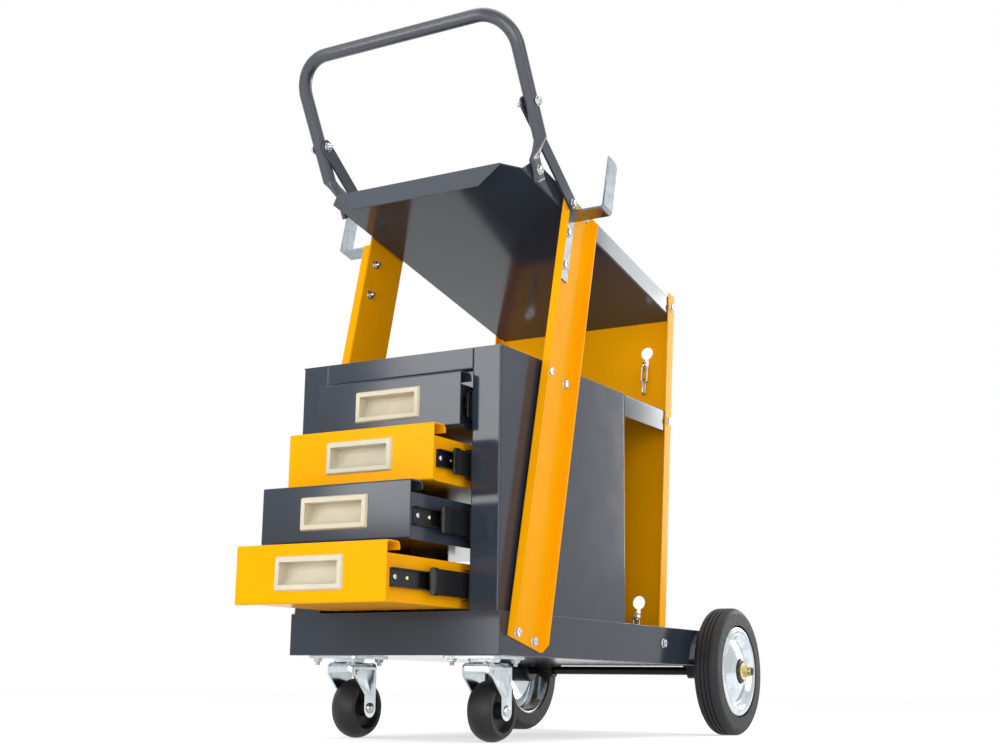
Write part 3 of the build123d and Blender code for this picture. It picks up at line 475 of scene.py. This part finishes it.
# Drawer slides: a rivet and a stud in each inner member, a plastic stop on each middle one
SLIDE_WEB_DEPTH = 5.5 * MM
RIVET_SETBACKS = (8.0 * MM, 31.0 * MM)
RIVET_RISE = 1.0 * MM
RIVET_RADII = (3.6 * MM, 2.7 * MM)
RIVET_HEIGHT = 1.9 * MM
DOME_STEPS = 5
DOME_WALL = 0.25  # share of a round head's height that is a straight wall
DOME_FLAT = 0.6  # steps of the dome left out at the top, which leaves a small flat
STOP_FRONT = 10.0 * MM
STOP_BACK = 6.0 * MM
STOP_NOSE = 4.0 * MM
STOP_INSIDE = 2.5 * MM
STOP_OUTSIDE = 1.2 * MM
STOP_ABOVE = 1.1 * MM
STOP_EASE = 1.0 * MM
STOP_SIDES = 32
STOP_BACK_SHARE, STOP_NOSE_SHARE, STOP_TIP_SHARE = 0.92, 0.94, 0.75


def dome_profile(radius, height):
    """Round head: a short wall, then a dome that ends in a small flat."""
    wall = height * DOME_WALL
    profile = [(radius, 0.0), (radius, wall)]
    for step in range(1, DOME_STEPS + 1):
        angle = 0.5 * math.pi * step / (DOME_STEPS + DOME_FLAT)
        profile.append((radius * math.cos(angle), wall + (height - wall) * math.sin(angle)))
    return profile


def square_off(turn):
    """A sine or cosine pushed outwards, which makes a softly squared loop of a round one."""
    return math.copysign(math.sqrt(abs(turn)), turn)


def squared(place, halves, profile):
    """Loops of a softly squared bar, from its share of the full section at each height."""
    loops = []
    for share, height in profile:
        wide, tall = share * halves[0], share * halves[1]
        loop = []
        for angle in around(STOP_SIDES):
            across = wide * square_off(math.cos(angle))
            along = tall * square_off(math.sin(angle))
            loop.append(place @ Vector((across, along, height)))
        loops.append(loop)
    return loops


def dress_slides(number):
    inner_low, inner_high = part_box(f"drawer_{number}_slides")
    mid_low, mid_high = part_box(f"slide_mid_{number}")
    rise = (inner_low.z + inner_high.z) / 2
    rivets, studs, stops = [], [], []
    length = STOP_FRONT + STOP_BACK
    nose = length - STOP_NOSE
    stop_profile = (
        (STOP_BACK_SHARE, 0.0),
        (1.0, STOP_EASE),
        (1.0, nose),
        (STOP_NOSE_SHARE, nose + STOP_NOSE / 2),
        (STOP_TIP_SHARE, length),
    )
    stop_halves = ((STOP_INSIDE + STOP_OUTSIDE) / 2, (mid_high.z - mid_low.z) / 2 + STOP_ABOVE)
    for _, sign in SIDES:
        web = sign * (inner_high.x - SLIDE_WEB_DEPTH)
        for skins, setback, radius in zip((rivets, studs), RIVET_SETBACKS, RIVET_RADII):
            place = place_at((web, inner_low.y + setback, rise + RIVET_RISE), (sign, 0, 0))
            skins.append(turned(place, dome_profile(radius, RIVET_HEIGHT)))
        stop_x = sign * (mid_high.x + (STOP_OUTSIDE - STOP_INSIDE) / 2)
        place = place_at((stop_x, mid_low.y + STOP_BACK, rise), (0, -1, 0))
        stops.append(squared(place, stop_halves, stop_profile))
    make_piece(f"slide_rivets_{number}", rivets, f"drawer_{number}", BOLT_ZINC)
    make_piece(f"slide_studs_{number}", studs, f"drawer_{number}", YELLOW_ZINC)
    make_piece(f"slide_stops_{number}", stops, f"slide_mid_{number}", STOP_PLASTIC)


for drawer in DRAWERS:
    dress_slides(drawer)


# Casters: pressed ridges on the fork's legs, round pins through its eyes
PIN_HEAD = 4.0 * MM
PIN_HEAD_RADIUS = 6.4 * MM
PIN_RADIUS = 3.9 * MM
PIN_SIDES = 28
RIDGE_LIFT = 1.6 * MM
RIDGE_CREST = 0.12  # width of the crest as a share of the ridge's
RIDGE_MARGIN = 1.5 * MM
RIDGE_RISE_START, RIDGE_RISE_SPAN = 0.15, 0.75  # part of a half wave that the crest follows
RIDGE_TOP = 8.5 * MM
RIDGE_FRONT = 8.0 * MM
RIDGE_BACK = 5.5 * MM
RIDGE_FOOT = 15.0 * MM
RIDGE_STEPS = 10


def ridge_loops(face, sign, front, back, foot, top):
    """A triangular pressing on a leg: broad at the top, closing on a foot, with a crest."""
    outline, crest = [], []
    steps = range(RIDGE_STEPS + 1)
    for edge, order in ((front, steps), (back, reversed(steps))):
        for step in order:
            along = step / RIDGE_STEPS
            bow = math.sin(0.5 * math.pi * along)
            z = foot.z + (top - foot.z) * along
            middle = foot.y + ((front + back) / 2 - foot.y) * bow
            y = foot.y + (edge - foot.y) * bow + math.copysign(RIDGE_MARGIN, edge - foot.y)
            outline.append(Vector((face, y, z)))
            rise = math.pi * (RIDGE_RISE_START + RIDGE_RISE_SPAN * along)
            height = RIDGE_LIFT * math.sin(rise)
            crest.append(Vector((face + sign * height, middle + (y - middle) * RIDGE_CREST, z)))
    return [outline, crest]


def dress_caster(side):
    swivel = f"caster_{side}_swivel"
    fork_low, fork_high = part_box(f"caster_{side}_fork")
    wheel_low, wheel_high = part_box(f"caster_{side}_wheel")
    axle_low, axle_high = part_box(f"caster_{side}_axle")
    hub = (wheel_low + wheel_high) / 2
    ridges = []
    for face, sign in ((fork_low.x, -1), (fork_high.x, 1)):
        foot = Vector((face, hub.y, hub.z + RIDGE_FOOT))
        front, back = fork_low.y + RIDGE_FRONT, fork_high.y - RIDGE_BACK
        ridges.append(ridge_loops(face, sign, front, back, foot, fork_high.z - RIDGE_TOP))
    make_piece(f"caster_{side}_ridges", ridges, swivel, ZINC)
    length = axle_high.x - axle_low.x
    head = dome_profile(PIN_HEAD_RADIUS, PIN_HEAD)
    near = [(radius, PIN_HEAD - height) for radius, height in reversed(head)]
    far = [(radius, length - PIN_HEAD + height) for radius, height in head]
    profile = near + [(PIN_RADIUS, PIN_HEAD), (PIN_RADIUS, length - PIN_HEAD)] + far
    place = place_at((axle_low.x, hub.y, hub.z), (1, 0, 0))
    pin_loops = turned(place, profile, PIN_SIDES)
    pin = make_piece(f"caster_{side}_pin", [pin_loops], swivel, BOLT_ZINC)
    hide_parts(f"caster_{side}_axle")


for caster_side, _ in SIDES:
    dress_caster(caster_side)


# Axle: threaded ends past the nuts
AXLE_PITCH = 1.5 * MM
AXLE_CREST = 0.35 * MM
AXLE_ROOT = 0.05 * MM
AXLE_TIP = 0.8 * MM
AXLE_SIDES = 24


def dress_axle():
    axle_low, axle_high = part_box("axle")
    middle = (axle_low + axle_high) / 2
    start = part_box("axle_nuts")[1].x - AXLE_PITCH
    radius = (axle_high.z - axle_low.z) / 2
    length = axle_high.x - AXLE_TIP - start
    halves = 2 * int(length / AXLE_PITCH)
    lifts = (AXLE_ROOT, AXLE_CREST)
    profile = [(radius + lifts[half % 2], length * half / halves) for half in range(halves + 1)]
    skins = []
    for _, sign in SIDES:
        place = place_at((sign * start, middle.y, middle.z), (sign, 0, 0))
        skins.append(turned(place, profile, AXLE_SIDES))
    make_piece(
        "axle_threads", skins, "cart", AXLE_ZINC, smooth_angle=THREAD_SMOOTH_ANGLE
    )


dress_axle()


# Light and floor: white all round, and brighter where a ray shows it than where it only lights
WHITE = (1, 1, 1, 1)
WORLD_LIGHT, WORLD_SHOWN = 0.55, 1.0
FLOOR_HALF = 12.0
FLOOR_COLOUR = (0.80, 0.80, 0.80)
FLOOR_ROUGHNESS = 0.9
FLOOR_GLOW = 0.54
CENTRE = (0.0, 0.0, 0.45)
LAMPS = {  # place, target, width and height, watts
    "key": ((-1.4, -2.2, 2.4), CENTRE, (1.2, 1.2), 7),
    "strip": ((-0.95, -2.0, 0.8), (0.0, -0.3, 0.4), (0.5, 0.7), 8),
    "low": ((-0.80, -2.0, 0.17), (0.0, -0.3, 0.15), (0.25, 0.22), 0.8),
    "fill": ((0.9, -2.6, 0.5), (0.0, 0.1, 0.5), (2.0, 1.4), 32),
    "side": ((2.4, -0.6, 1.3), CENTRE, (1.4, 1.8), 14),
    "rim": ((0.71, 2.25, 0.80), (0.1, 0.2, 0.5), (0.75, 0.8), 16),
    "rim_high": ((1.02, 2.2, 1.40), (0.1, 0.2, 0.6), (0.45, 0.4), 3.0),
    "top": ((0.0, 0.2, 2.8), CENTRE, (2.0, 2.0), 20),
}

# Camera, fitted to the photograph's 1000 by 750 frame
CAMERA_AT = Vector((0.9956, -1.68795, 0.0607))
CAMERA_YAW = math.radians(30.946)
CAMERA_PITCH = math.radians(12.276)
CAMERA_ROLL = math.radians(0.765)
CAMERA_LENS = 52.0
CAMERA_SENSOR = 36.0


def area_light(name, place, target, size, power):
    data = bpy.data.lights.new(name, "AREA")
    data.shape = "RECTANGLE"
    data.size, data.size_y = size
    data.energy = power
    lamp = bpy.data.objects.new(name, data)
    lamp.location = place
    lamp.visible_camera = False
    lamp.rotation_euler = (Vector(target) - Vector(place)).to_track_quat("-Z", "Y").to_euler()
    bpy.context.scene.collection.objects.link(lamp)


def shown_ray(tree):
    """1 for rays that show the background itself: camera, glossy and transmission rays."""
    path = tree.nodes.new("ShaderNodeLightPath")
    total = path.outputs["Is Camera Ray"]
    for output in ("Is Glossy Ray", "Is Transmission Ray"):
        both = tree.nodes.new("ShaderNodeMath")
        both.operation = "MAXIMUM"
        tree.links.new(total, both.inputs[0])
        tree.links.new(path.outputs[output], both.inputs[1])
        total = both.outputs["Value"]
    return total


def make_world():
    world = bpy.data.worlds.new("studio")
    world.use_nodes = True
    tree = world.node_tree
    background = tree.nodes["Background"]
    background.inputs["Color"].default_value = WHITE
    strength = tree.nodes.new("ShaderNodeMapRange")
    tree.links.new(shown_ray(tree), strength.inputs["Value"])
    strength.inputs["To Min"].default_value = WORLD_LIGHT
    strength.inputs["To Max"].default_value = WORLD_SHOWN
    tree.links.new(strength.outputs["Result"], background.inputs["Strength"])
    bpy.context.scene.world = world


def make_floor():
    bm = bmesh.new()
    bmesh.ops.create_grid(bm, x_segments=1, y_segments=1, size=FLOOR_HALF)
    mesh = bpy.data.meshes.new("floor")
    bm.to_mesh(mesh)
    bm.free()
    finish = Finish("floor_paper", FLOOR_COLOUR, FLOOR_ROUGHNESS)
    finish.tint(finish.noise(scale=3.0), amount=0.01)
    finish.shader.inputs["Specular IOR Level"].default_value = 0.0
    finish.shader.inputs["Emission Color"].default_value = WHITE
    glow = finish.node("ShaderNodeMapRange")
    finish.link(shown_ray(finish.tree), glow.inputs["Value"])
    glow.inputs["To Min"].default_value = 0.0
    glow.inputs["To Max"].default_value = FLOOR_GLOW
    finish.link(glow.outputs["Result"], finish.shader.inputs["Emission Strength"])
    mesh.materials.append(finish.done())
    floor = bpy.data.objects.new("floor", mesh)
    bpy.context.scene.collection.objects.link(floor)


def make_camera():
    data = bpy.data.cameras.new("camera")
    data.sensor_width = CAMERA_SENSOR
    data.lens = CAMERA_LENS
    camera = bpy.data.objects.new("camera", data)
    forward = Vector((
        -math.sin(CAMERA_YAW) * math.cos(CAMERA_PITCH),
        math.cos(CAMERA_YAW) * math.cos(CAMERA_PITCH),
        math.sin(CAMERA_PITCH),
    ))
    right = Vector((math.cos(CAMERA_YAW), math.sin(CAMERA_YAW), 0))
    up = right.cross(forward)
    rolled_right = right * math.cos(CAMERA_ROLL) + up * math.sin(CAMERA_ROLL)
    rolled_up = up * math.cos(CAMERA_ROLL) - right * math.sin(CAMERA_ROLL)
    turn = Matrix((rolled_right, rolled_up, -forward)).transposed().to_4x4()
    turn.translation = CAMERA_AT
    camera.matrix_world = turn
    bpy.context.scene.collection.objects.link(camera)
    bpy.context.scene.camera = camera


make_world()
make_floor()
make_camera()
for lamp_name, lamp_values in LAMPS.items():
    area_light(lamp_name, *lamp_values)
bpy.context.scene.view_settings.view_transform = "Standard"
